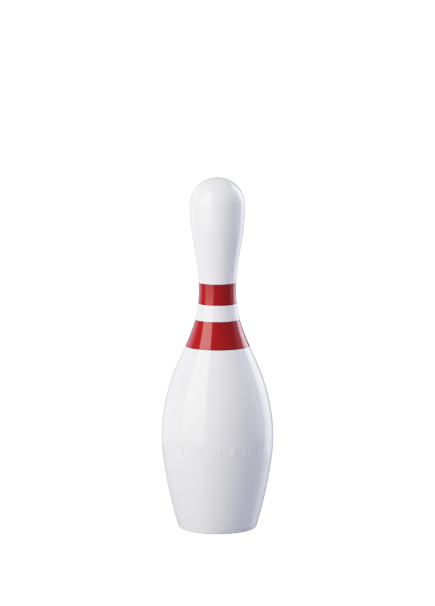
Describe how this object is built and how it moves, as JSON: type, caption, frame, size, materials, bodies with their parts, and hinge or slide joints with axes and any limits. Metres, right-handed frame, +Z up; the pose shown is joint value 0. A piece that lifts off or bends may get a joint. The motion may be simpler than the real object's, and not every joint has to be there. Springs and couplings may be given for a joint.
{
  "type": "bowling pin",
  "caption": "Tenpin bowling pin: white turned body with a round head, red stripes on a slim neck, a full belly and a flat foot. It stands alone to be knocked down.",
  "frame": {"origin": "centre of the foot's flat face, on the floor", "axes": "+Z up along the pin's axis to the head, -Y to the front, +X to the right seen from the front"},
  "size_m": [0.1216, 0.1216, 0.381],
  "materials": {
    "white_plastic": "moulded plastic jacket under a clear gloss coat",
    "red_plastic": "red band under the same clear gloss coat",
    "base_nylon": "satin moulded nylon",
    "maple": "bare turned hard maple, boards glued face to face"
  },
  "bodies": {
    "root": {"jacket": "white_plastic", "upper_neck_stripe": "red_plastic", "lower_neck_stripe": "red_plastic", "base_ring": "base_nylon", "core_heart_stick": "maple", "core_strip_front": "maple", "core_strip_back": "maple", "core_board_left": "maple", "core_board_right": "maple", "belly_board_left_inner": "maple", "belly_board_left_outer": "maple", "belly_board_right_inner": "maple", "belly_board_right_outer": "maple", "belly_board_front_inner": "maple", "belly_board_front_outer": "maple", "belly_board_back_inner": "maple", "belly_board_back_outer": "maple"}
  },
  "joints": []
}
